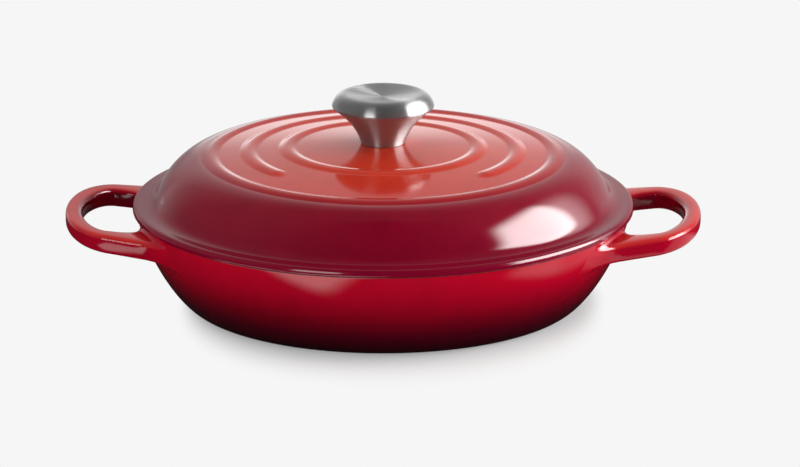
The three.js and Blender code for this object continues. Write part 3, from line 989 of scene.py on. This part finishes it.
def spun_steel(name, shade, roughness, metal):
    """Steel with the fine circles that a spinning tool or brush leaves."""
    finish, tree = new_finish(name)
    place = object_place(tree)
    lines = tree.node(
        "ShaderNodeCombineXYZ", None,
        {"X": radius_of(place) * SPIN_SCALE, "Y": height_of(place) * SPIN_SCALE},
    )
    fine = noise(lines, 1, detail=4, roughness=0.7)
    smear = noise(place, SMEAR_SCALE, detail=3)
    dark, pale = shade - SPIN_DARKER, shade + SPIN_PALER
    surface(
        tree,
        Base_Color=blend(fine, tone(dark, dark, dark + 1), tone(pale, pale, pale - 1)),
        Metallic=metal,
        Roughness=roughness + 0.08 * fine + 0.03 * smear,
        Anisotropic=SPIN_STRETCH,
        Anisotropic_Rotation=SPIN_ALONG,
        Normal=bump(fine, strength=0.05, distance=0.02 * MM),
    )
    return finish


def zinc_steel():
    finish, tree = new_finish("zinc_grey_steel")
    flake = noise(object_place(tree), FLAKE_SCALE, detail=4)
    surface(
        tree,
        Base_Color=blend(flake, ZINC_DARK, ZINC_PALE),
        Metallic=1.0,
        Roughness=0.3 + 0.2 * flake,
        Normal=bump(flake, strength=0.1, distance=0.03 * MM),
    )
    return finish


def coat(piece, finishes, choose=None):
    """Give a piece its finishes, and each face the one that the piece's zones choose."""
    piece.data.materials.clear()
    for finish in finishes:
        piece.data.materials.append(finish)
    if choose:
        for face in piece.data.polygons:
            face.material_index = choose(face)


def pot_zone(face):
    """0 outside, 1 inside, 2 rim, 3 underside."""
    centre = face.center
    radius = Vector((centre.x, centre.y)).length
    if centre.z > POT_HEIGHT - RIM_ZONE and radius < RIM_RADIUS + ZONE_MARGIN:
        return 2
    if radius < BASE_RADIUS + ZONE_MARGIN and centre.z < FOOT_ZONE:
        return 3
    middle = (radius_at(outer_wall, centre.z) + radius_at(inner_wall, centre.z)) / 2
    return 1 if radius < middle and centre.z > FLOOR / 2 else 0


def lid_zone(face):
    """0 outside, 1 underside, 2 the contact face and flange."""
    centre = face.center
    radius = Vector((centre.x, centre.y)).length
    if radius > dome_foot.x and centre.z < POT_HEIGHT + CONTACT_ZONE:
        return 2
    on_top = face.normal.z > 0 or radius > dome_foot.x
    return 0 if on_top and radius > HOLE_RADIUS + SMALL_ROUND else 1


# Studio

PALE = tone(246, 246, 246)  # ground and backdrop as the camera shows them
AMBIENT = 0.82  # even light from all round

# Floor, and the pot's shadow on it
GROUND_SIZE = 12
GROUND_GREY = (0.9, 0.9, 0.9, 1)
GROUND_DROP = 0.05 * MM
CLEAR_UNDER = (0.98 * BASE_RADIUS, BASE_RADIUS)  # edge of the circle that lets light up to the base
SHADOW_START = 0.105
SHADOW_SIDE = 0.012
SHADOW_FRONT = 0.055
SHADOW_SHIFT = 0.005
SHADOW_PALE = 0.29  # share of the pale ground that is left next to the pot

# Bright patches of the floor that reflections show. Each span is its start, its end and the two soft edges
CARD_SLANT = 0.45
CARD_ACROSS = (-0.20, -0.13, 0.03, 0.03)
CARD_DEEP = (-0.30, -0.165, 0.02, 0.02)
CORNER_ACROSS = (-0.25, -0.19, 0.03, 0.02)
CORNER_DEEP = (-0.26, -0.14, 0.03, 0.03)
CARD_LEVEL = 2.6
RIGHT_SLANT = 0.5
RIGHT_START = (0.172, 0.192)
RIGHT_END = (0.18, 0.2)
RIGHT_DEEP = (-0.12, 0.02, 0.02, 0.04)
RIGHT_FADE = (-0.09, -0.06)
RIGHT_LEVEL = 0.95
RIGHT_LOSS = 0.5  # taken off behind the fade
FAR_RIGHT_DEEP = (-0.09, 0.06, 0.03, 0.05)
FAR_RIGHT_LEVEL = 0.65
BEHIND_NEAR = (0.1, 0.4)
BEHIND_NEAR_LEVEL = 0.5
BEHIND_FAR = (0.4, 1.4)
BEHIND_FAR_LEVEL = 0.4
GROUND_LEAST = 0.01

# Grey cards behind the handles
FLAG_HEIGHT = 0.22
FLAG_SOLID = 0.3  # share of the height below which a card is dense
FLAG_EDGE = 0.06
FLAG_BACK = 0.25

# Softbox on the right, a little behind the pot, as reflections show it, and the key lamp under it
LIGHT_TURN = math.radians(85)
SOFTBOX_LIFT = math.radians(30)
SOFTBOX_FACING = (0, 0.1)
FIELD_START = (-0.45, -0.3)
FIELD_UPWARD = (-0.38, 0.22, 0.12, 0.18)
FIELD_LEVEL = 13
HALO_START = (-0.9, -0.35)
HALO_TOP = (0.05, 0.42)
HALO_LEVEL = 3.4
NEAR_EDGE = (0.33, 0.56)
NEAR_SLANT = 0.6
KEY_LIFT = math.radians(15)
KEY_DISTANCE = 0.9
KEY_TARGET = (0, 0, 0.05)
KEY_SIZE = 0.6
KEY_LEVEL = 6

# Backdrop as reflections show it: (height or turn towards the back, brightness)
BACK_WALL_WAY = (-0.07, 1, 0)
BACK_WALL_FADE = [
    (0, 0.7), (0.1, 0.8), (0.2, 0.7), (0.34, 0.55), (0.5, 0.42), (0.64, 0.36), (0.77, 0.15), (0.9, 0),
]
BACK_WALL_BREADTH = [(0.62, 0), (0.85, 0.36), (0.95, 0.8), (1, 1)]
LOW_FADE = [(0, 0.5), (0.05, 1), (0.12, 0.75), (0.24, 0)]
LOW_BREADTH = [(0.94, 0), (0.985, 0.5), (1, 1)]
LOW_LEVEL = 0.95
ROOM_FADE = [(0, 0.01), (0.07, 0.035), (0.18, 0.06), (0.33, 0.12), (0.5, 0.17)]
CEILING = (0.8, 1)
CEILING_DARKER = 0.4
STRIP_ACROSS = (-0.8, -0.36, 0.08, 0.05)
STRIP_START = (0.2, 0.3)
STRIP_TOP = (0.38, 0.54)
STRIP_LEVEL = 5


def from_right(lift):
    """The way to a light on the right, lifted by an angle."""
    flat = math.cos(lift)
    return Vector((flat * math.sin(LIGHT_TURN), flat * math.cos(LIGHT_TURN), math.sin(lift)))


SOFTBOX_WAY = from_right(SOFTBOX_LIFT)
SOFTBOX_SIDE = SOFTBOX_WAY.cross((0, 0, 1)).normalized()  # towards the front
SOFTBOX_UP = SOFTBOX_SIDE.cross(SOFTBOX_WAY)


def light_path(tree, ray):
    return tree.node("ShaderNodeLightPath", output=ray)


def world_place(tree):
    return tree.node("ShaderNodeNewGeometry", output="Position")


def patch(value, low, high, low_edge, high_edge):
    """1 between low and high, with a soft edge outside each."""
    return between(value, low - low_edge, low) * (1 - between(value, high, high + high_edge))


def grey_ramp(value, stops):
    return ramp(value, [(place, (level, level, level, 1)) for place, level in stops])


def mix_shaders(share, first, second):
    return first.node("ShaderNodeMixShader", None, {0: share, 1: first, 2: second})


def ground_pools(place):
    """How bright the floor is in reflections: pale behind the pot, with cards in front and at the right."""
    x = place.along((1, 0, 0))
    y = place.along((0, 1, 0))
    behind = BEHIND_NEAR_LEVEL * between(y, *BEHIND_NEAR) + BEHIND_FAR_LEVEL * between(y, *BEHIND_FAR)
    card = patch(x + CARD_SLANT * y, *CARD_ACROSS) * patch(y, *CARD_DEEP)
    corner_card = patch(x, *CORNER_ACROSS) * patch(y, *CORNER_DEEP)
    beside = between(x - RIGHT_SLANT * y, *RIGHT_START) * (1 - between(x, *RIGHT_END))
    right = beside * patch(y, *RIGHT_DEEP) * (RIGHT_LEVEL - RIGHT_LOSS * between(y, *RIGHT_FADE))
    far_right = between(x, *RIGHT_END) * patch(y, *FAR_RIGHT_DEEP)
    return GROUND_LEAST + behind + CARD_LEVEL * (card + corner_card) + right + FAR_RIGHT_LEVEL * far_right


def shadow_fade(tree, place):
    """Share of the pale ground: least next to the pot, where the lit floor shows its shadow, and then all."""
    from_base = place.vector("SUBTRACT", (SHADOW_SHIFT, 0, 0))
    ahead = tree.math("MAXIMUM", from_base.vector("NORMALIZE").along((0, -1, 0)), 0)
    shadow_reach = SHADOW_SIDE + SHADOW_FRONT * ahead * ahead
    beyond = (radius_of(from_base) - SHADOW_START) / shadow_reach
    return SHADOW_PALE + (1 - SHADOW_PALE) * between(beyond, 0, 1)


def studio_floor():
    """Pale floor with the pot's shadow near it, clear from below so that the base can be looked at.

    In reflections only its bright patches show.
    """
    clear_selection()
    bpy.ops.mesh.primitive_plane_add(size=GROUND_SIZE)
    ground = new_piece("studio_floor")
    for v in ground.data.vertices:
        v.co.z = -GROUND_DROP
    finish, tree = new_finish("pale_floor")
    place = world_place(tree)
    matt = tree.node("ShaderNodeBsdfDiffuse", None, {"Color": GROUND_GREY})
    glow = tree.node("ShaderNodeEmission", None, {"Color": PALE, "Strength": 1.0})
    plain = mix_shaders(light_path(tree, "Is Camera Ray") * shadow_fade(tree, place), matt, glow)
    mirrored = tree.node("ShaderNodeEmission", None, {"Strength": ground_pools(place)})
    upper = mix_shaders(light_path(tree, "Is Glossy Ray"), plain, mirrored)
    below = tree.node("ShaderNodeNewGeometry", output="Backfacing")
    under_pot = 1 - between(radius_of(place), *CLEAR_UNDER)
    clear_share = tree.math("MAXIMUM", below, under_pot * light_path(tree, "Is Diffuse Ray"))
    show(tree, mix_shaders(clear_share, upper, tree.node("ShaderNodeBsdfTransparent")))
    coat(ground, [finish])


def flag(name, start, end, level):
    """A grey card with soft edges behind a handle. Only reflections show it."""
    clear_selection()
    bpy.ops.mesh.primitive_plane_add(size=1)
    card = new_piece(name)
    for v in card.data.vertices:
        v.co = (start + (v.co.x + 0.5) * (end - start), FLAG_BACK, (v.co.y + 0.5) * FLAG_HEIGHT)
    finish, tree = new_finish("grey_card")
    place = world_place(tree)
    middle = patch(place.along((1, 0, 0)), start + FLAG_EDGE, end - FLAG_EDGE, FLAG_EDGE, FLAG_EDGE)
    dense = middle * (1 - between(height_of(place), FLAG_SOLID * FLAG_HEIGHT, FLAG_HEIGHT))
    grey = tree.node("ShaderNodeEmission", None, {"Strength": level})
    show(tree, mix_shaders(dense, tree.node("ShaderNodeBsdfTransparent"), grey))
    coat(card, [finish])
    card.visible_camera = False
    card.visible_diffuse = False
    card.visible_shadow = False


def softbox_glow(way):
    """The softbox as reflections show it: a bright field with a soft glow on its far side."""
    facing = way.along(SOFTBOX_WAY)
    across = way.along(SOFTBOX_SIDE) / facing
    upward = way.along(SOFTBOX_UP) / facing
    near_edge = 1 - between(across + NEAR_SLANT * upward, *NEAR_EDGE)
    field = between(across, *FIELD_START) * patch(upward, *FIELD_UPWARD)
    halo = between(across, *HALO_START) * (1 - between(upward, *HALO_TOP))
    return (FIELD_LEVEL * field + HALO_LEVEL * halo) * near_edge * between(facing, *SOFTBOX_FACING)


def wall_glow(way):
    """The room as reflections show it: a bright wall behind, brightest low down, and dim elsewhere."""
    up = height_of(way)
    back = way.vector("MULTIPLY", (1, 1, 0)).vector("NORMALIZE").along(BACK_WALL_WAY)
    wall = grey_ramp(up, BACK_WALL_FADE) * grey_ramp(back, BACK_WALL_BREADTH)
    low = grey_ramp(up, LOW_FADE) * grey_ramp(back, LOW_BREADTH)
    room = grey_ramp(0.5 + 0.5 * back, ROOM_FADE) * (1 - CEILING_DARKER * between(up, *CEILING))
    return wall + LOW_LEVEL * low + room


def strip_glow(way):
    """A narrow light at the front left, which the wall and the knob mirror."""
    front = 0 - way.along((0, 1, 0))
    beside = way.along((1, 0, 0)) / front
    strip = patch(beside, *STRIP_ACROSS) * between(front, *STRIP_START)
    return STRIP_LEVEL * (strip * (1 - between(height_of(way), *STRIP_TOP)))


def backdrop():
    """Pale all round for the camera. Reflections show a low bright wall behind and the lights."""
    world = bpy.data.worlds.new("studio")
    bpy.context.scene.world = world
    world.use_nodes = True
    world.node_tree.nodes.clear()
    tree = Shade(world.node_tree)
    way = tree.node("ShaderNodeTexCoord", output="Generated")
    glow = wall_glow(way) + softbox_glow(way) + strip_glow(way)
    seen = light_path(tree, "Is Camera Ray")
    in_gloss = light_path(tree, "Is Glossy Ray")
    soft = AMBIENT * (1 - in_gloss) + glow * in_gloss
    strength = seen * PALE[0] + soft * (1 - seen)
    shade = tree.node("ShaderNodeBackground", None, {"Color": (1, 1, 1, 1), "Strength": strength})
    tree.node("ShaderNodeOutputWorld", None, {"Surface": shade})


def key_lamp():
    """A square lamp on the right that faces the pot. Its reflection is drawn by the backdrop."""
    lamp = bpy.data.lights.new("key", "AREA")
    lamp.shape = "RECTANGLE"
    lamp.size = KEY_SIZE
    lamp.size_y = KEY_SIZE
    lamp.energy = KEY_LEVEL * math.pi * KEY_SIZE * KEY_SIZE
    box = bpy.data.objects.new("key", lamp)
    bpy.context.scene.collection.objects.link(box)
    box.location = from_right(KEY_LIFT) * KEY_DISTANCE
    box.rotation_euler = (Vector(KEY_TARGET) - box.location).to_track_quat("-Z", "Y").to_euler()
    box.visible_camera = False
    box.visible_glossy = False


def studio():
    studio_floor()
    flag("left_flag", start=-0.31, end=-0.1, level=0.32)
    flag("right_flag", start=0.1, end=0.38, level=0.5)
    backdrop()
    key_lamp()


def camera():
    """The photograph's view: from a little right of the front, aimed at what is in the picture's middle."""
    lens = bpy.data.cameras.new("camera")
    lens.lens = CAMERA_LENS
    lens.sensor_width = SENSOR_WIDTH
    lens.clip_end = CLIP_END
    eye = bpy.data.objects.new("camera", lens)
    bpy.context.scene.collection.objects.link(eye)
    flat = math.cos(CAMERA_ELEVATION)
    away = Vector((
        math.sin(CAMERA_YAW) * flat, -math.cos(CAMERA_YAW) * flat, math.sin(CAMERA_ELEVATION)
    ))
    right = Vector((math.cos(CAMERA_YAW), math.sin(CAMERA_YAW), 0))
    up = away.cross(right)
    eye.location = away * CAMERA_DISTANCE
    aim = right * AIM_RIGHT + up * AIM_UP
    eye.rotation_euler = (aim - eye.location).to_track_quat("-Z", "Y").to_euler()
    bpy.context.scene.camera = eye


bpy.context.scene.view_settings.view_transform = "Standard"
camera()
studio()

cap_steel = spun_steel("spun_cap_steel", shade=172, roughness=0.25, metal=0.82)
stem_steel = spun_steel("spun_stem_steel", shade=178, roughness=0.32, metal=0.85)
zinc = zinc_steel()
sand = sand_enamel()
rim_finish = dark_rim()
coat(pot_casting(), [pot_red(), sand, rim_finish, base_enamel()], pot_zone)
coat(lid_casting(), [lid_red(), sand, rim_finish], lid_zone)
coat(knob_cap(), [cap_steel])
coat(knob_stem(), [stem_steel])
coat(knob_screw(), [zinc])
coat(screw_washer(), [zinc])
coat(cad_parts["knob_insert"], [zinc])
